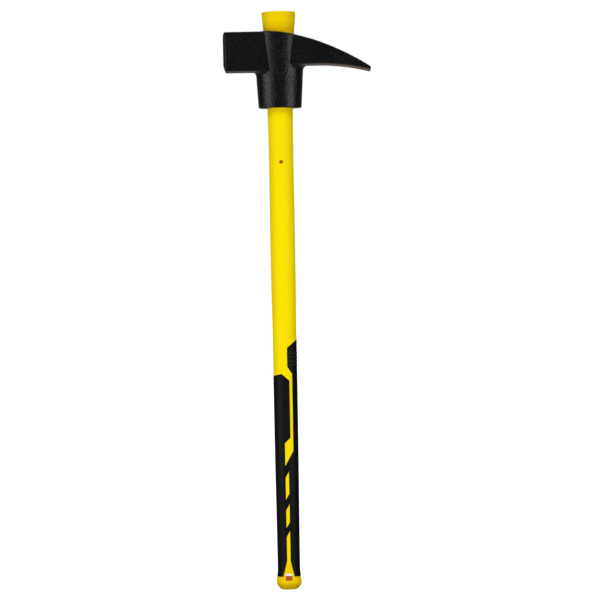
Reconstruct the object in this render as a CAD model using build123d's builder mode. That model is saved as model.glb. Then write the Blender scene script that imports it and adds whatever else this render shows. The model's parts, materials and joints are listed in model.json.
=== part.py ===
from build123d import *
import os

# A fire axe of the forcing kind: a forged steel head with a square hammer poll on one side and a curved
# flat-ended wedge on the other, dropped over a moulded handle whose flared top jams in the head's eye.
# Millimetres. The origin is the middle of the butt's flat end, +Z runs up the handle to the head, +X
# points to the wedge and -X to the poll. Both sides of the grip's pattern mirror each other across Y.

os.makedirs("parts", exist_ok=True)

# --- Driving dimensions -------------------------------------------------------------------------------

# Heights along the whole axe
HANDLE_LENGTH = 900.0  # butt to the top of the flare
STAND_OUT = 31.0  # handle left standing above the head
HEAD_HEIGHT = 119.2  # poll's top down to the rim of the collar
SEAT_HEIGHT = 49.0  # upper stretch of the eye, where the handle flares

# Handle: full widths along X; every section is the same oval
HANDLE_OVAL = 0.76  # depth over width
TOP_WIDTH = 53.2
EYE_WIDTH = 47.8  # at the poll's top
SEAT_WIDTH = 42.6  # at the foot of the seat
COLLAR_WIDTH = 39.7  # at the rim of the collar
SHAFT_WIDTH = 38.6  # half way between grip and collar
GRIP_TOP_WIDTH = 37.5
GRIP_WIDTH = 36.8
GRIP_FOOT_WIDTH = 35.3
NECK_WIDTH = 34.6  # narrowest, just above the knob
KNOB_WIDTH = 40.8
BUTT_WIDTH = 27.2  # flat end, before its rim is rounded
TOP_EDGE = 1.6  # rounded rim of the flare
KNOB_EDGE = 7.0
BUTT_EDGE = 7.0
END_TRIM = 0.02  # skimmed off both ends once the oval is made, which leaves them true planes
KNOB_LEAN = 0.25  # how fast the knob draws in as the neck begins, width over height

# Handle: heights of those widths above the butt
GRIP_TOP_Z = 400.0
GRIP_Z = 250.0
GRIP_FOOT_Z = 110.0
NECK_Z = 38.0
KNOB_Z = 9.3

# Core rod, and the pairs of pins that hold it in the mould
CORE_DIAMETER = 19.0
CORE_END_COVER = 20.0  # plastic beyond each end of the rod
PIN_HOLE_DIAMETER = 6.0
PIN_HOLE_BELOW_COLLAR = 84.0

# Rubber grip
GRIP_DEPTH = 2.2  # how far it is let into the jacket
GRIP_PROUD = 0.25
GRIP_FOOT = 20.4  # its lower edge
BAR_SLOPE = 1.8  # rise over run of the slanting bars
WINDOW_LEFT = -2.5
WINDOW_RIGHT = 2.9
WINDOWS = ((139.9, 174.3), (95.8, 123.6))  # foot and top of each window's left edge
TAIL_TOP = 82.0  # window that runs out into the knob
TAIL_FLARE = 45.0  # height where it starts to spread
TAIL_HALF_WIDTH = 8.8  # at the grip's lower edge
STRIPE_LEFT = 6.3
STRIPE_RIGHT = 10.6
STRIPE_FOOT = 216.4  # right edge turns to a slant here
STRIPE_STEP = 236.7  # left edge steps out here
LEFT_SHOULDER = 325.5
LEFT_PEAK = (-5.6, 336.0)
LEFT_FALL = 0.22
RIGHT_SHOULDER = 335.7
RIGHT_NECK = (3.4, 347.1)
RIGHT_PEAK_Z = 376.3
RIGHT_RISE = 0.84
RIB_COUNT = 4
RIB_PITCH = 6.3
RIB_FIRST_Z = 348.9
RIB_RADIUS = 1.9
RIB_PROUD = 0.55
RIB_START = 4.6  # where the ribs begin, on the wedge side

# Butt label, a plain blank sticker
LABEL_WIDTH = 10.5
LABEL_FOOT = 14.5
LABEL_HEIGHT = 10.4
LABEL_CORNER = 0.8
LABEL_PROUD = 0.3

# Head
EYE_CLEARANCE = 0.3
POLL_LENGTH = 87.3  # handle's axis to the striking face
POLL_HEIGHT = 62.0
HEAD_THICKNESS = 44.0  # across the flat sides
WEDGE_LENGTH = 142.5  # handle's axis to the tip
WEDGE_DEPTH = 52.5  # poll's top down to the wedge's underside, at its root
WEDGE_TIP_DROP = 57.6  # poll's top down to the tip's upper corner
WEDGE_TIP_HEIGHT = 5.7
WEDGE_TIP_WIDTH = 53.0
WEDGE_FLAT = 60.0  # the underside is straight this far from the axis, then curves down
FLARE_START = 46.0  # the sides are parallel this far from the axis, then spread
BELLY_X = 60.0  # on the upper curve: out from the axis ...
BELLY_DROP = 15.7  # ... and down from the poll's top
CROWN_START = -28.0  # where the poll's flat top begins to fall
SOCKET_TOP_WIDTH = 81.6
SOCKET_RIM_WIDTH = 67.4
SOCKET_OVAL = 0.652
BOSS_PROUD = 0.5  # the socket's top above the poll and wedge
POLL_FILLET = 7.3
WEDGE_FILLET = 9.0
FACE_TOP_BEVEL = (1.8, 6.0)  # in from the face, along the face
FACE_FOOT_BEVEL = (2.8, 9.0)
FACE_SIDE_BEVEL = 3.5
HEAD_EDGE = 1.5
RIM_EDGE = 1.8

# --- Heights that follow ------------------------------------------------------------------------------

head_top = HANDLE_LENGTH - STAND_OUT
collar_rim = head_top - HEAD_HEIGHT
seat_foot = head_top - SEAT_HEIGHT
shaft_middle = (GRIP_TOP_Z + collar_rim) / 2
poll_foot = head_top - POLL_HEIGHT
wedge_foot = head_top - WEDGE_DEPTH
FAR = 2 * HEAD_THICKNESS  # cutting sketches reach this far past what they cut
SAME_LEVEL = 0.01  # edges this close in height are picked together


def handle_form(grow):
    """The handle's outside, turned on its axis and squashed to an oval, with grow added to its radius."""
    shaft = [
        (NECK_WIDTH / 2 + grow, NECK_Z),
        (GRIP_FOOT_WIDTH / 2 + grow, GRIP_FOOT_Z),
        (GRIP_WIDTH / 2 + grow, GRIP_Z),
        (GRIP_TOP_WIDTH / 2 + grow, GRIP_TOP_Z),
        (SHAFT_WIDTH / 2 + grow, shaft_middle),
        (COLLAR_WIDTH / 2 + grow, collar_rim),
    ]
    seat = (SEAT_WIDTH / 2 + grow, seat_foot)
    eye = (EYE_WIDTH / 2 + grow, head_top)
    top = (TOP_WIDTH / 2 + grow, HANDLE_LENGTH + END_TRIM)
    knob = (KNOB_WIDTH / 2 + grow, KNOB_Z)
    butt = (BUTT_WIDTH / 2 + grow, -END_TRIM)
    with BuildPart() as form:
        with BuildSketch(Plane.XZ) as half:
            with BuildLine():
                Polyline((0, top[1]), (0, butt[1]), butt, knob)
                Spline(knob, shaft[0], tangents=[(-KNOB_LEAN, 1), (0, 1)])
                Spline(*shaft, tangents=[(0, 1), (seat[0] - shaft[-1][0], seat[1] - shaft[-1][1])])
                Line(shaft[-1], seat)
                TangentArc(seat, eye, tangent=(seat[0] - shaft[-1][0], seat[1] - shaft[-1][1]))
                Polyline(eye, top, (0, top[1]))
            make_face()
            fillet(half.vertices().sort_by_distance(top)[0], TOP_EDGE)
            fillet(half.vertices().sort_by_distance(knob)[0], KNOB_EDGE)
            fillet(half.vertices().sort_by_distance(butt)[0], BUTT_EDGE)
        revolve(axis=Axis.Z)
        scale(by=(1, HANDLE_OVAL, 1))
        split(bisect_by=Plane.XY, keep=Keep.TOP)
        split(bisect_by=Plane.XY.offset(HANDLE_LENGTH), keep=Keep.BOTTOM)
    return form.part


def width_at(height):
    """Half width of the grip stretch at a height, read along a straight line between its stations."""
    stations = [(GRIP_FOOT_Z, GRIP_FOOT_WIDTH), (GRIP_Z, GRIP_WIDTH), (GRIP_TOP_Z, GRIP_TOP_WIDTH)]
    low, high = stations[:2] if height < GRIP_Z else stations[1:]
    share = (height - low[0]) / (high[0] - low[0])
    return (low[1] + share * (high[1] - low[1])) / 2


handle_skin = handle_form(0)
grip_skin = handle_form(GRIP_PROUD)
grip_bed = handle_form(-GRIP_DEPTH)
eye_form = handle_form(EYE_CLEARANCE)
label_skin = handle_form(LABEL_PROUD)


# --- Where rubber covers the handle, seen from the side ------------------------------------------------

bar_rise = BAR_SLOPE * (WINDOW_RIGHT - WINDOW_LEFT)
stripe_corner = STRIPE_FOOT - BAR_SLOPE * (STRIPE_RIGHT - WINDOW_LEFT)
left_edge_z = LEFT_PEAK[1] - LEFT_FALL * (FAR + LEFT_PEAK[0])
right_edge_z = RIGHT_PEAK_Z + RIGHT_RISE * (FAR - RIGHT_NECK[0])

with BuildSketch(Plane.XZ) as rubber_area:
    Polygon(
        (-FAR, GRIP_FOOT),
        (FAR, GRIP_FOOT),
        (FAR, right_edge_z),
        (RIGHT_NECK[0], RIGHT_PEAK_Z),
        RIGHT_NECK,
        (STRIPE_RIGHT, RIGHT_SHOULDER),
        (STRIPE_RIGHT, STRIPE_FOOT),
        (WINDOW_LEFT, stripe_corner),
        (WINDOW_LEFT, STRIPE_STEP - (STRIPE_LEFT - WINDOW_LEFT)),
        (STRIPE_LEFT, STRIPE_STEP),
        (STRIPE_LEFT, LEFT_SHOULDER),
        LEFT_PEAK,
        (-FAR, left_edge_z),
        align=None,
    )
    for foot, top in WINDOWS:
        Polygon(
            (WINDOW_LEFT, foot),
            (WINDOW_RIGHT, foot + bar_rise),
            (WINDOW_RIGHT, top + bar_rise),
            (WINDOW_LEFT, top),
            align=None,
            mode=Mode.SUBTRACT,
        )
    Polygon(
        (-TAIL_HALF_WIDTH, GRIP_FOOT),
        (TAIL_HALF_WIDTH, GRIP_FOOT),
        (WINDOW_RIGHT, TAIL_FLARE),
        (WINDOW_RIGHT, TAIL_TOP + bar_rise),
        (WINDOW_LEFT, TAIL_TOP),
        (WINDOW_LEFT, TAIL_FLARE),
        align=None,
        mode=Mode.SUBTRACT,
    )

# --- Handle: core rod ---------------------------------------------------------------------------------

with BuildPart() as core_rod:
    with BuildSketch(Plane.XY.offset(CORE_END_COVER)):
        Circle(CORE_DIAMETER / 2)
    extrude(amount=HANDLE_LENGTH - 2 * CORE_END_COVER)
core_rod.part.label = "core_rod"
export_step(core_rod.part, "parts/core_rod.step")

# --- Handle: rubber grip, one moulding whose slanting bars join its two sides ---------------------------

with BuildPart() as rib_rings:
    with BuildSketch(Plane.XZ):
        for rib in range(RIB_COUNT):
            rib_z = RIB_FIRST_Z + rib * RIB_PITCH
            crest = width_at(rib_z) + GRIP_PROUD + RIB_PROUD
            with Locations((crest - RIB_RADIUS, rib_z)):
                Circle(RIB_RADIUS)
    revolve(axis=Axis.Z)
    scale(by=(1, HANDLE_OVAL, 1))
    split(bisect_by=Plane.YZ.offset(RIB_START), keep=Keep.TOP)

with BuildPart() as grip_overmould:
    add(grip_skin)
    extrude(rubber_area.sketch, amount=FAR, both=True, mode=Mode.INTERSECT)
    add(rib_rings.part)
    add(grip_bed, mode=Mode.SUBTRACT)
grip_overmould.part.label = "grip_overmould"
export_step(grip_overmould.part, "parts/grip_overmould.step")

# --- Handle: plastic jacket moulded round the rod, with a bed for the rubber ----------------------------

with BuildPart() as rubber_bed:
    extrude(rubber_area.sketch, amount=FAR, both=True)
    add(grip_bed, mode=Mode.SUBTRACT)

with BuildPart() as jacket:
    add(handle_skin)
    add(rubber_bed.part, mode=Mode.SUBTRACT)
    add(core_rod.part, mode=Mode.SUBTRACT)
    with BuildSketch(Plane.XZ):
        with Locations((0, collar_rim - PIN_HOLE_BELOW_COLLAR)):
            Circle(PIN_HOLE_DIAMETER / 2)
    extrude(amount=FAR, both=True, mode=Mode.SUBTRACT)
jacket.part.label = "jacket"
export_step(jacket.part, "parts/jacket.step")

# --- Handle: blank sticker on the knob ------------------------------------------------------------------

with BuildPart() as butt_label:
    add(label_skin)
    add(handle_skin, mode=Mode.SUBTRACT)
    with BuildSketch(Plane.XZ):
        with Locations((0, LABEL_FOOT + LABEL_HEIGHT / 2)):
            RectangleRounded(LABEL_WIDTH, LABEL_HEIGHT, LABEL_CORNER)
    extrude(amount=FAR, mode=Mode.INTERSECT)
butt_label.part.label = "butt_label"
export_step(butt_label.part, "parts/butt_label.step")

# --- Head: one forging -----------------------------------------------------------------------------------

tip_top = head_top - WEDGE_TIP_DROP
tip_foot = tip_top - WEDGE_TIP_HEIGHT
belly = (BELLY_X, head_top - BELLY_DROP)
crown_start = (CROWN_START, head_top)
boss_top = head_top + BOSS_PROUD
half_thickness = HEAD_THICKNESS / 2

# The socket and its collar: a hollow oval cone with webs that sweep into the poll and the wedge
with BuildPart() as socket:
    with BuildSketch(Plane.XY.offset(collar_rim)):
        Ellipse(SOCKET_RIM_WIDTH / 2, SOCKET_OVAL * SOCKET_RIM_WIDTH / 2)
    with BuildSketch(Plane.XY.offset(boss_top + BOSS_PROUD)):
        Ellipse(SOCKET_TOP_WIDTH / 2, SOCKET_OVAL * SOCKET_TOP_WIDTH / 2)
    loft(ruled=True)
    fillet(socket.edges().group_by(Axis.Z)[0], RIM_EDGE)
    with BuildSketch(Plane.XZ):
        Polygon(
            (-WEDGE_FLAT, poll_foot),
            (0, poll_foot),
            (0, wedge_foot),
            (WEDGE_FLAT, wedge_foot),
            (WEDGE_FLAT, wedge_foot + WEDGE_FILLET),
            (-WEDGE_FLAT, wedge_foot + WEDGE_FILLET),
            align=None,
        )
    extrude(amount=half_thickness - HEAD_EDGE, both=True)
    for height, radius in ((poll_foot, POLL_FILLET), (wedge_foot, WEDGE_FILLET)):
        level = socket.edges().filter_by_position(Axis.Z, height - SAME_LEVEL, height + SAME_LEVEL)
        fillet(level.filter_by(GeomType.LINE, reverse=True), radius)
    # The top falls with the wedge's crown, standing a little proud of it
    with BuildSketch(Plane.XZ):
        with BuildLine():
            fall = TangentArc((CROWN_START, boss_top), (BELLY_X, boss_top - BELLY_DROP), tangent=(1, 0))
            Polyline(fall @ 1, (FAR, boss_top - BELLY_DROP), (FAR, HANDLE_LENGTH), (-FAR, HANDLE_LENGTH))
            Polyline((-FAR, HANDLE_LENGTH), (-FAR, boss_top), fall @ 0)
        make_face()
    extrude(amount=FAR, both=True, mode=Mode.SUBTRACT)

with BuildPart() as head:
    # Side outline of poll and wedge, cut from a plate as wide as the wedge's tip
    with BuildSketch(Plane.XZ):
        with BuildLine():
            outline = Polyline(
                crown_start,
                (FACE_TOP_BEVEL[0] - POLL_LENGTH, head_top),
                (-POLL_LENGTH, head_top - FACE_TOP_BEVEL[1]),
                (-POLL_LENGTH, poll_foot + FACE_FOOT_BEVEL[1]),
                (FACE_FOOT_BEVEL[0] - POLL_LENGTH, poll_foot),
                (0, poll_foot),
                (0, wedge_foot),
                (WEDGE_FLAT, wedge_foot),
            )
            TangentArc(outline @ 1, (WEDGE_LENGTH, tip_foot), tangent=(1, 0))
            Line((WEDGE_LENGTH, tip_foot), (WEDGE_LENGTH, tip_top))
            crown = TangentArc(crown_start, belly, tangent=(1, 0))
            TangentArc(belly, (WEDGE_LENGTH, tip_top), tangent=crown % 1)
        make_face()
    extrude(amount=WEDGE_TIP_WIDTH / 2, both=True)
    # Plan outline: a bevelled striking face, parallel sides, and a wedge that spreads to its tip
    with BuildSketch(Plane.XY.offset(tip_foot)):
        with BuildLine():
            side = Polyline(
                (-POLL_LENGTH, 0),
                (-POLL_LENGTH, half_thickness - FACE_SIDE_BEVEL),
                (FACE_SIDE_BEVEL - POLL_LENGTH, half_thickness),
                (FLARE_START, half_thickness),
            )
            flare = TangentArc(side @ 1, (WEDGE_LENGTH, WEDGE_TIP_WIDTH / 2), tangent=(1, 0))
            Line(flare @ 1, (WEDGE_LENGTH, 0))
            mirror(about=Plane.XZ)
        make_face()
    extrude(amount=FAR, mode=Mode.INTERSECT)
    fillet([edge for edge in head.edges() if abs(edge.center().X) > HEAD_EDGE], HEAD_EDGE)
    add(socket.part)
    # The eye, a slip fit over the handle's own taper
    add(eye_form, mode=Mode.SUBTRACT)
head.part.label = "head"
export_step(head.part, "parts/head.step")
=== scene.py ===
# %% [markdown]
# # A fire axe of the forcing kind
#
# This axe has a forged steel head, with a square hammer poll on one side and a curved, flat-ended wedge on
# the other. The head is dropped over a long moulded handle, whose flared top jams in the head's eye. The
# handle is a glass-fibre rod inside a yellow plastic jacket, with a black rubber grip moulded over it.
#
# The engineering model already has every real size, so this lesson loads it as a fixed frame, and works on
# surfaces: the soft edges of a forging, the grain of a powder coat, and what each finish does to light.

# %% Load the frame
import json
import math

import bpy
from mathutils import Matrix, Vector

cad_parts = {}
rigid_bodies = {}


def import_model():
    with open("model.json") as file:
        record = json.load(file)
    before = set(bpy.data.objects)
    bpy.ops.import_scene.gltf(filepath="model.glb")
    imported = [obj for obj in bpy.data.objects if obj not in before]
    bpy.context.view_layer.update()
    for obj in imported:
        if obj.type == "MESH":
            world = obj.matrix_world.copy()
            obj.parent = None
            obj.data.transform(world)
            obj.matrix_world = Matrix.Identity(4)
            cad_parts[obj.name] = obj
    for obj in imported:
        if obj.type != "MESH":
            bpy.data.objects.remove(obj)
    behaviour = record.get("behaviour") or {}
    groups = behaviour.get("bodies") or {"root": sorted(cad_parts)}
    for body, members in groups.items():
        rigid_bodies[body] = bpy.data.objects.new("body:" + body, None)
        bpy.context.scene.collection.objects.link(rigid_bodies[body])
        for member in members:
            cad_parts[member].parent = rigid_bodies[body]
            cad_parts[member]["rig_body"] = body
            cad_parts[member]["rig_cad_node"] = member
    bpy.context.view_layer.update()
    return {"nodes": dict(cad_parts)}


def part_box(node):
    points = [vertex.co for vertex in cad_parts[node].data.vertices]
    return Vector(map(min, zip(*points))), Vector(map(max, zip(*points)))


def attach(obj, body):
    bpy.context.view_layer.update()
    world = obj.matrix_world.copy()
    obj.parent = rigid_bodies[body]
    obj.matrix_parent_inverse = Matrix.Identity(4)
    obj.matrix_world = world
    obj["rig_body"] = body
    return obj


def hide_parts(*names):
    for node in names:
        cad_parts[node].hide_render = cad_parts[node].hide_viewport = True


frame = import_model()
nodes = frame["nodes"]
MM = 0.001  # one millimetre, in the frame's metres
print("pieces in the frame:", sorted(nodes))

# %% [markdown]
# ## The camera
#
# A long, slim object is best shown by a long lens from far away, level with its middle: its sides then stay
# parallel, and only the head's underside shows, a little, from below. The camera leans by one degree, as
# one held by hand does. It is placed first, so that every later step can be judged through it.

# %% Place the camera
CAMERA_PLACE = Vector((0.0252, -4.7, 0.4504))
CAMERA_LENS = 180.8  # millimetres
CAMERA_LEAN = math.radians(1.1)
UPRIGHT = math.radians(90)  # turns what looks down until it looks level

bpy.ops.object.select_all(action="DESELECT")
bpy.ops.object.camera_add(location=CAMERA_PLACE, rotation=(UPRIGHT, 0, 0))
camera = bpy.context.active_object
camera.name = "studio_camera"
camera.matrix_world = camera.matrix_world @ Matrix.Rotation(-CAMERA_LEAN, 4, "Z")
camera.data.lens = CAMERA_LENS
bpy.context.scene.camera = camera
view_width = camera.data.sensor_width / CAMERA_LENS * -CAMERA_PLACE.y
print("the view is", round(view_width, 3), "m wide at the axe")

# %% [markdown]
# ## Colours and nodes
#
# Paint makers give colours as sRGB hex values, and shaders count in linear light, so one function turns the
# one into the other. Two more set a node and add one, and a fourth starts a material. A setting can be a
# plain value, or the output of another node, which is then linked.


# %% Four helpers
def linear(hex_colour):
    """A linear RGBA colour from an sRGB hex value, by the curve of the sRGB standard."""
    channels = [int(hex_colour[i : i + 2], 16) / 255 for i in (1, 3, 5)]
    return tuple(c / 12.92 if c <= 0.04045 else ((c + 0.055) / 1.055) ** 2.4 for c in channels) + (1.0,)


def feed(tree, node, settings):
    """Sets a node's properties, by name, and its inputs, by name or number."""
    for key, value in settings.items():
        if isinstance(value, bpy.types.NodeSocket):
            tree.links.new(value, node.inputs[key])
        elif isinstance(key, int) or key in node.inputs:
            node.inputs[key].default_value = value
        else:
            setattr(node, key, value)


def add_node(tree, kind, settings=None):
    """Adds a node with its settings."""
    node = tree.nodes.new(kind)
    feed(tree, node, settings or {})
    return node


def new_finish(name, settings):
    """A material with one shader and its output, and the Object coordinates that its patterns follow."""
    material = bpy.data.materials.new(name)
    material.use_nodes = True
    tree = material.node_tree
    tree.nodes.clear()
    shader = add_node(tree, "ShaderNodeBsdfPrincipled", settings)
    add_node(tree, "ShaderNodeOutputMaterial", {"Surface": shader.outputs["BSDF"]})
    place = add_node(tree, "ShaderNodeTexCoord").outputs["Object"]
    return material, tree, shader, place


print("a middle grey, #808080, is", round(linear("#808080")[0], 3), "in linear light")

# %% [markdown]
# ## The parts of a pattern
#
# Every patterned finish is built from the same few nodes, so each has a function that returns its output:
# one axis of a place or direction, places drawn out along the handle, noise, a range stretched onto another,
# one number made from two, a mix of two colours, and a bump. A Mix node repeats its input names for numbers,
# vectors and colours, so the colour ones are picked by number.

# %% Seven pattern functions
MIX_SHARE, MIX_FIRST, MIX_SECOND = 0, 6, 7  # a Mix node's inputs, for colours
MIX_RESULT = 2  # and its output


def one_axis(tree, vector, axis):
    """The X, Y or Z of a place or a direction."""
    return add_node(tree, "ShaderNodeSeparateXYZ", {"Vector": vector}).outputs[axis]


def drawn_out(tree, place, share):
    """Places that change by only this share along the handle, so that a pattern is drawn out along it."""
    settings = {"Vector": place, "Scale": (1.0, 1.0, share)}
    return add_node(tree, "ShaderNodeMapping", settings).outputs["Vector"]


def noise(tree, place, size, detail, roughness=0.5):
    """Noise from 0 to 1. Its size is in metres."""
    settings = {"Vector": place, "Scale": 1 / size, "Detail": detail, "Roughness": roughness}
    return add_node(tree, "ShaderNodeTexNoise", settings).outputs["Fac"]


def stretch(tree, value, low, high, to_low=0.0, to_high=1.0, clamp=True):
    """A value whose range, low to high, is stretched onto another range."""
    settings = {"Value": value, "From Min": low, "From Max": high, "To Min": to_low, "To Max": to_high}
    return add_node(tree, "ShaderNodeMapRange", {"clamp": clamp, **settings}).outputs["Result"]


def combine(tree, operation, first, second):
    """One number made from two."""
    return add_node(tree, "ShaderNodeMath", {"operation": operation, 0: first, 1: second}).outputs[0]


def blend(tree, share, first, second):
    """A mix of two colours. A share of 0 gives the first, and 1 gives the second."""
    settings = {"data_type": "RGBA", MIX_SHARE: share, MIX_FIRST: first, MIX_SECOND: second}
    return add_node(tree, "ShaderNodeMix", settings).outputs[MIX_RESULT]


def bump(tree, height, strength, depth, over=None):
    """Surface directions tilted by a height pattern, over another bump where one is given."""
    settings = {"Height": height, "Strength": strength, "Distance": depth}
    if over is not None:
        settings["Normal"] = over
    return add_node(tree, "ShaderNodeBump", settings).outputs["Normal"]


print("a Mix node's colour inputs are numbers", MIX_FIRST, "and", MIX_SECOND)

# %% [markdown]
# ## Finish: textured black powder coat
#
# The forging is shot-blasted, sprayed with dry black powder and baked. A textured powder shrinks as it sets
# into a fine, even grain of smooth little bumps a millimetre or two apart, which hides the marks of the
# forge. Each bump is quite glossy, so where the light is mirrored the surface breaks up into sparks, and
# everywhere else it is nearly black. Under the wedge the powder goes on thin, and the steel's brown scale
# shows.

# %% Make the powder coat
GRAIN = 2.2 * MM  # the real grain is 1 to 2 mm; drawn coarser, or it would not show
GRAIN_DEPTH = 0.3 * MM
BLOTCH = 28 * MM  # patches where the coat is glossier or duller, and thin powder shows more or less
THIN_STARTS, THIN_FULL = 30 * MM, 60 * MM  # out along the wedge, from the handle's axis
SLANT_STARTS, SLANT_FULL = -0.55, -0.9  # how far up a face points, from 1, straight up, to -1

powder_coat, tree, shader, place = new_finish(
    "textured_powder_coat", {"Roughness": 0.26, "IOR": 1.5, "Specular IOR Level": 0.22}
)
grain = noise(tree, place, GRAIN, detail=2.0, roughness=0.6)
blotches = noise(tree, place, BLOTCH, detail=3.0)
coat = blend(tree, stretch(tree, grain, 0.46, 0.66), linear("#08080a"), linear("#1c1c20"))

# Thin powder: only where the surface faces down, and only out along the wedge
facing = add_node(tree, "ShaderNodeNewGeometry").outputs["Normal"]
faces_down = stretch(tree, one_axis(tree, facing, "Z"), SLANT_STARTS, SLANT_FULL)
along_wedge = stretch(tree, one_axis(tree, place, "X"), THIN_STARTS, THIN_FULL)
thin_powder = combine(tree, "MULTIPLY", faces_down, along_wedge)
thin_patches = combine(tree, "MULTIPLY", thin_powder, blotches)
coat_colour = blend(tree, thin_patches, coat, linear("#8a5636"))

gloss = stretch(tree, blotches, 0.3, 0.7, to_low=0.23, to_high=0.31)
grain_bump = bump(tree, grain, 1.0, GRAIN_DEPTH)
feed(tree, shader, {"Base Color": coat_colour, "Roughness": gloss, "Normal": grain_bump})
print("powder grain:", round(GRAIN / MM, 2), "mm")

# %% [markdown]
# ## Finish: yellow polypropylene
#
# The jacket is injection-moulded polypropylene in a steel mould with a satin surface. It is a strong warm
# yellow with soft, wide highlights. Thick mouldings shrink unevenly as they cool, so the skin has long, very
# shallow waves, and the pigment is a little uneven along the flow. The ends get painted shade, a deeper,
# more orange yellow: on the knob, and on the flare where the head shades it. A fine spark-eroded grain dulls
# it all.

# %% Make the yellow polypropylene
FLOW = 16 * MM  # width of the waves
FLOW_ALONG = 0.18  # share by which they change along the handle
WAVE_DEPTH = 0.15 * MM
SPARK_GRAIN = 0.9 * MM  # real spark erosion is 0.1 mm; drawn coarser, or it would not show
SPARK_DEPTH = 0.02 * MM
PAINTED_SHADE_YELLOW = linear("#e0b000")
# Height above the butt in millimetres, and the share of painted shade, a deeper yellow, there
PAINTED_SHADE_BY_HEIGHT = ((0, 0.6), (30, 0.5), (48, 0.0), (866, 0.0), (870, 1.0), (886, 0.35))

yellow_plastic, tree, shader, place = new_finish(
    "moulded_polypropylene_yellow", {"Roughness": 0.42, "IOR": 1.49, "Specular IOR Level": 0.03}
)
flow = noise(tree, drawn_out(tree, place, FLOW_ALONG), FLOW, detail=3.0)
sparks = noise(tree, place, SPARK_GRAIN, detail=1.0)
pigment = blend(tree, flow, linear("#f4d800"), linear("#f6df00"))

# A colour ramp over the handle's height holds the shares of painted shade. It comes with two stops: one is
# removed, and the other becomes the first share's.
handle_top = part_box("jacket")[1].z
share_of_height = stretch(tree, one_axis(tree, place, "Z"), 0.0, handle_top)
painted_shade_ramp = add_node(tree, "ShaderNodeValToRGB", {"Fac": share_of_height})
stops = painted_shade_ramp.color_ramp.elements
stops.remove(stops[0])
for step, (height, share) in enumerate(PAINTED_SHADE_BY_HEIGHT):
    stop = stops[0] if step == 0 else stops.new(height * MM / handle_top)
    stop.position = height * MM / handle_top
    stop.color = (share, share, share, 1.0)
# The deeper yellow is painted shade: on the knob's downward faces, and on the flare where the head shades
# it.
pigment_with_painted_shade = blend(tree, painted_shade_ramp.outputs["Color"], pigment, PAINTED_SHADE_YELLOW)

satin = stretch(tree, flow, 0.3, 0.7, to_low=0.38, to_high=0.48)
waves = bump(tree, flow, 0.5, WAVE_DEPTH)
skin = bump(tree, sparks, 0.6, SPARK_DEPTH, over=waves)
feed(tree, shader, {"Base Color": pigment_with_painted_shade, "Roughness": satin, "Normal": skin})
print("the jacket's deeper yellow:", [round(c, 3) for c in PAINTED_SHADE_YELLOW])

# %% [markdown]
# ## Finish: black grip rubber
#
# The grip is a thermoplastic rubber shot into the same handle in a second mould. It is matte, because the
# mould was etched, and soft rubber picks up a faint grey bloom in patches where hands rub it. The ribs are
# part of the grip's shape, and their crests get a painted highlight, a lighter grey set at their heights.
# Highlights on the rubber are wide and dim.

# %% Make the grip rubber
ETCH = 1.1 * MM  # the etched grain is half this; drawn coarser, or it would not show
ETCH_DEPTH = 0.05 * MM
BLOOM = 22 * MM  # patches of grey bloom
RIB_FIRST, RIB_PITCH, RIB_COUNT = 348.9 * MM, 6.3 * MM, 4  # lowest crest's height, spacing, how many
RIB_START = 4.6 * MM  # the ribs are on the wedge's side, from this far out
HALF_PITCH = 0.5  # here and below, in pitches
CREST_EDGE, CREST_TOP = 0.3, 0.1  # off the crest: where its painted highlight starts, and is full

grip_rubber, tree, shader, place = new_finish(
    "thermoplastic_rubber_black", {"Roughness": 0.5, "IOR": 1.52, "Specular IOR Level": 0.1}
)
etch_settings = {"Vector": place, "feature": "SMOOTH_F1", "Scale": 1 / ETCH}
etch = add_node(tree, "ShaderNodeTexVoronoi", etch_settings).outputs["Distance"]
bloom = noise(tree, place, BLOOM, detail=4.0)
rubber = blend(tree, bloom, linear("#050505"), linear("#090909"))

# The ribs are numbered from 0 upwards, so that each crest is at a whole number
rib_number = stretch(tree, one_axis(tree, place, "Z"), RIB_FIRST, RIB_FIRST + RIB_PITCH, clamp=False)
off_crest = combine(tree, "PINGPONG", rib_number, HALF_PITCH)
painted_crest_highlight = stretch(tree, off_crest, CREST_EDGE, CREST_TOP)
for limit in (
    combine(tree, "GREATER_THAN", rib_number, -HALF_PITCH),
    combine(tree, "LESS_THAN", rib_number, RIB_COUNT - HALF_PITCH),
    combine(tree, "GREATER_THAN", one_axis(tree, place, "X"), RIB_START),
):
    painted_crest_highlight = combine(tree, "MULTIPLY", painted_crest_highlight, limit)
# The rib crests are painted a lighter grey: a painted highlight where they would catch the light.
rubber_with_painted_crest_highlight = blend(tree, painted_crest_highlight, rubber, linear("#1d1d1d"))

wear = stretch(tree, bloom, 0.3, 0.7, to_low=0.44, to_high=0.56)
etch_bump = bump(tree, etch, 0.7, ETCH_DEPTH)
feed(tree, shader, {"Base Color": rubber_with_painted_crest_highlight, "Roughness": wear, "Normal": etch_bump})
print("grip etch:", round(ETCH / MM, 2), "mm, and rib pitch:", round(RIB_PITCH / MM, 2), "mm")

# %% [markdown]
# ## Finish: pultruded glass fibre
#
# The rod in the middle of the handle is glass fibre pulled through resin. Its fibres all run along the
# handle, so it has long fine streaks of amber and brown. It shows only at the bottom of the two small holes
# where the mould's pins held it.

# %% Make the glass-fibre rod's finish
FIBRE = 0.6 * MM  # width of a streak
FIBRE_ALONG = 0.03  # share by which streaks change along the rod
FIBRE_DEPTH = 0.05 * MM

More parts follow.
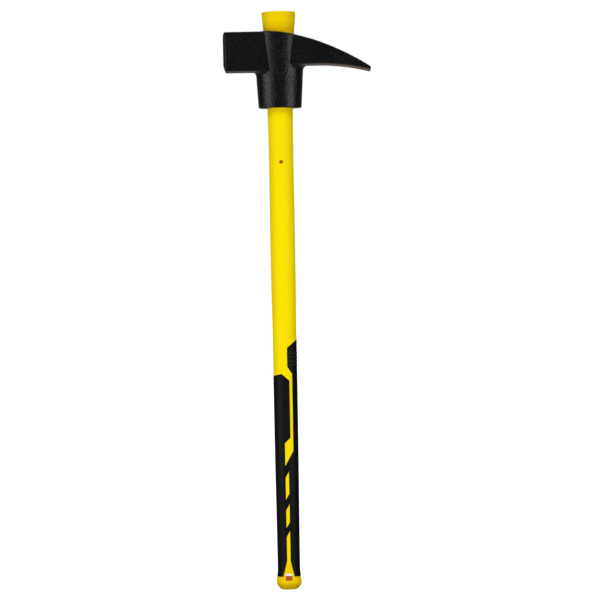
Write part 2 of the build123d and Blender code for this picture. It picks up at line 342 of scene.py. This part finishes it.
fibre_rod, tree, shader, place = new_finish("pultruded_glass_fibre", {"Roughness": 0.4, "IOR": 1.55})
fibres = noise(tree, drawn_out(tree, place, FIBRE_ALONG), FIBRE, detail=3.0)
resin = blend(tree, fibres, linear("#c46a1c"), linear("#eba24a"))
feed(tree, shader, {"Base Color": resin, "Normal": bump(tree, fibres, 0.4, FIBRE_DEPTH)})
print("fibre streaks are about", round(FIBRE / MM, 2), "mm wide")

# %% [markdown]
# ## Finish: blank vinyl sticker
#
# A small printed vinyl sticker sits on the knob. Its print is left out: it has only its two plain areas of
# colour, a white band over a red-brown block, under a thin clear film.

# %% Make the sticker's finish
BAND_SHARE = 0.7  # the red-brown block's share of the sticker's height
BAND_BLUR = 0.1 * MM  # the line between the two is soft by this much to each side
INK_GRAIN = 0.8 * MM

sticker_low, sticker_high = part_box("butt_label")
band_z = sticker_low.z + BAND_SHARE * (sticker_high.z - sticker_low.z)
vinyl, tree, shader, place = new_finish(
    "vinyl_sticker_blank", {"Roughness": 0.3, "IOR": 1.5, "Coat Weight": 0.3, "Coat Roughness": 0.15}
)
above_band = stretch(tree, one_axis(tree, place, "Z"), band_z - BAND_BLUR, band_z + BAND_BLUR)
ink_grain = noise(tree, place, INK_GRAIN, detail=2.0)
ink = blend(tree, ink_grain, linear("#a04418"), linear("#b9601f"))
feed(tree, shader, {"Base Color": blend(tree, above_band, ink, linear("#f2efe6"))})
print("the sticker's two areas meet at", round(band_z / MM, 1), "mm above the butt")

# %% [markdown]
# ## A piece that takes the frame's shape
#
# The engineering model gives each piece as loose triangles with exact sizes. To be reshaped, a piece first
# has to be one joined skin, so this function makes a copy whose doubled points are merged. The frame's own
# piece is left alone, and the copy can stand in for it.

# %% A merged copy of a frame piece
MERGE_DISTANCE = 0.001 * MM


def merged_copy(node, name):
    """A copy of a frame piece, with its points merged, as a new piece of its own."""
    bpy.ops.object.select_all(action="DESELECT")
    nodes[node].select_set(True)
    bpy.context.view_layer.objects.active = nodes[node]
    bpy.ops.object.duplicate()
    piece = bpy.context.active_object
    piece.name = name
    piece.data.name = name
    piece.parent = None
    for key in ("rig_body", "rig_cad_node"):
        del piece[key]
    bpy.ops.object.mode_set(mode="EDIT")
    bpy.ops.mesh.select_all(action="SELECT")
    bpy.ops.mesh.remove_doubles(threshold=MERGE_DISTANCE)
    bpy.ops.mesh.normals_make_consistent(inside=False)
    bpy.ops.object.mode_set(mode="OBJECT")
    piece.data.materials.clear()
    print(name, "has", len(piece.data.polygons), "faces")
    return piece


print("points closer than", round(MERGE_DISTANCE / MM, 3), "mm will be merged")

# %% [markdown]
# ## The head
#
# A hammer-forged head has no sharp lines, and every inner corner flows. The copy is rebuilt as an even skin
# of 1 mm squares with a voxel remesh, then relaxed by a smoothing pass, which rounds each edge by about a
# millimetre as blasting and powder do. Last, a cloud texture presses the powder's grain into the skin. It
# never pushes outwards, so the head keeps within its size.

# %% Soften the forging
VOXEL = 1.0 * MM
RELAX_SHARE, RELAX_PASSES = 0.5, 6
POWDER_GRAIN = 1.5 * MM
POWDER_RELIEF = 0.45 * MM  # depth of the darkest part of the texture
STAYS_PUT = 1.0  # the texture's brightest value, which is not pressed in

forged_head = merged_copy("head", "forged_head")
remesh = forged_head.modifiers.new("even_skin", "REMESH")
remesh.mode = "VOXEL"
remesh.voxel_size = VOXEL
bpy.ops.object.modifier_apply(modifier="even_skin")
relax = forged_head.modifiers.new("relax", "SMOOTH")
relax.factor = RELAX_SHARE
relax.iterations = RELAX_PASSES
bpy.ops.object.modifier_apply(modifier="relax")
powder = bpy.data.textures.new("powder_grain", "CLOUDS")
powder.noise_scale = POWDER_GRAIN
powder.noise_depth = 0
grain_relief = forged_head.modifiers.new("powder_grain", "DISPLACE")
grain_relief.texture = powder
grain_relief.texture_coords = "LOCAL"
grain_relief.mid_level = STAYS_PUT
grain_relief.strength = POWDER_RELIEF
bpy.ops.object.modifier_apply(modifier="powder_grain")
bpy.ops.object.shade_smooth()
forged_head.data.materials.append(powder_coat)
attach(forged_head, "head")
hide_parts("head")
print("the head's skin has", len(forged_head.data.polygons), "faces")

# %% [markdown]
# ## The handle
#
# The jacket, the grip, the rod and the sticker are close mouldings with crisp edges where they meet, and the
# frame already has their true shapes and true surface directions. They stay as they are, and each takes its
# own finish.

# %% Finish the jacket, the grip, the rod and the sticker
for node, finish in (
    ("jacket", yellow_plastic),
    ("grip_overmould", grip_rubber),
    ("core_rod", fibre_rod),
    ("butt_label", vinyl),
):
    nodes[node].data.materials.clear()
    nodes[node].data.materials.append(finish)
    print(node, "is finished in", finish.name)

# %% [markdown]
# ## The floor
#
# The studio has a plain, pale floor that reaches out of sight. Black gloss would mirror so wide a bright
# floor and look grey, so only the camera sees it: it is in no reflection, throws no light back, and blocks
# none from below.

# %% Lay the floor
FLOOR_RADIUS = 300  # metres
FLOOR_DROP = 0.5 * MM  # below the butt, so that the two faces don't coincide
FLOOR_GLOW = 0.72

bpy.ops.object.select_all(action="DESELECT")
bpy.ops.mesh.primitive_circle_add(
    vertices=96, radius=FLOOR_RADIUS, fill_type="NGON", location=(0, 0, -FLOOR_DROP)
)
floor = bpy.context.active_object
floor.name = "studio_floor"
paper, tree, shader, _ = new_finish(
    "pale_paper", {"Base Color": linear("#c8c8c8"), "Roughness": 0.9, "Specular IOR Level": 0.1}
)
feed(tree, shader, {"Emission Color": (1.0, 1.0, 1.0, 1.0), "Emission Strength": FLOOR_GLOW})
floor.data.materials.append(paper)
floor.visible_diffuse = False
floor.visible_glossy = False
floor.visible_shadow = False
print("floor laid, with a glow of", FLOOR_GLOW)

# %% [markdown]
# ## The lights
#
# Black gloss shows only what it mirrors. Two upright soft boxes stand to the left and right of the camera,
# where the round socket mirrors each as one grey band, and the space between them is left dark. Two wide
# lights high in front fill the handle's yellow, one high behind lights the far side, and a weak one from
# below stands in for the light that a pale floor would throw back.

# %% Light the studio
MIDDLE = Vector((0, 0, 0.5))  # near the middle of the axe, where the lights point
SUN_DISTANCE = 6  # metres; a sun is as bright from any distance
BOX_DISTANCE, BOX_HEIGHT = 1.7, 1.2  # metres


def soft_sun(name, azimuth, elevation, strength, spread):
    """A wide soft light from far away. Azimuth 0 is beside the camera, and turns to the right."""
    bpy.ops.object.select_all(action="DESELECT")
    turn, rise = math.radians(azimuth), math.radians(elevation)
    way = Vector((math.sin(turn) * math.cos(rise), -math.cos(turn) * math.cos(rise), math.sin(rise)))
    bpy.ops.object.light_add(type="SUN", location=MIDDLE + SUN_DISTANCE * way)
    sun = bpy.context.active_object
    sun.name = name
    sun.data.energy = strength
    sun.data.angle = math.radians(spread)
    sun.rotation_euler = (MIDDLE - sun.location).to_track_quat("-Z", "Y").to_euler()


def softbox(name, azimuth, width, watts):
    """An upright soft box, as high as MIDDLE. Azimuth 0 is beside the camera, and turns to the right."""
    bpy.ops.object.select_all(action="DESELECT")
    turn = math.radians(azimuth)
    spot = (BOX_DISTANCE * math.sin(turn), -BOX_DISTANCE * math.cos(turn), MIDDLE.z)
    bpy.ops.object.light_add(type="AREA", location=spot)
    light = bpy.context.active_object
    light.name = name
    light.data.shape = "RECTANGLE"
    light.data.size = width
    light.data.size_y = BOX_HEIGHT
    light.data.energy = watts
    light.rotation_euler = (UPRIGHT, 0, turn)


softbox("softbox_left", azimuth=-46, width=0.9, watts=14.5)
softbox("softbox_right", azimuth=41, width=0.75, watts=13.0)
soft_sun("top_left", azimuth=-35, elevation=50, strength=1.1, spread=30)
soft_sun("top_right", azimuth=35, elevation=50, strength=0.9, spread=30)
soft_sun("back_fill", azimuth=180, elevation=35, strength=2.2, spread=60)
soft_sun("floor_bounce", azimuth=0, elevation=-45, strength=0.25, spread=90)

# %% [markdown]
# ## The surround
#
# Above the floor, the camera sees plain white. The axe itself feels a dimmer room: a faint glow that grows
# towards the back, and one from below. Were the whole room white, every black surface would turn grey.

# %% Make the surround
WHITE = (1.0, 1.0, 1.0, 1.0)

world = bpy.data.worlds.new("white_surround")
bpy.context.scene.world = world
world.use_nodes = True
tree = world.node_tree
tree.nodes.clear()
seen = add_node(tree, "ShaderNodeBackground", {"Color": WHITE, "Strength": 1.0})
outwards = add_node(tree, "ShaderNodeTexCoord").outputs["Generated"]
backdrop_glow = stretch(tree, one_axis(tree, outwards, "Y"), -0.1, 0.9, to_low=0.02, to_high=0.25)
floor_glow = stretch(tree, one_axis(tree, outwards, "Z"), -0.3, -0.9, to_high=0.3)
both_glows = combine(tree, "ADD", backdrop_glow, floor_glow)
felt = add_node(tree, "ShaderNodeBackground", {"Color": WHITE, "Strength": both_glows})
camera_ray = add_node(tree, "ShaderNodeLightPath").outputs["Is Camera Ray"]
surround = add_node(tree, "ShaderNodeMixShader", {0: camera_ray, 1: felt.outputs[0], 2: seen.outputs[0]})
add_node(tree, "ShaderNodeOutputWorld", {"Surface": surround.outputs[0]})
bpy.context.scene.view_settings.view_transform = "Standard"
print("surround:", world.name)
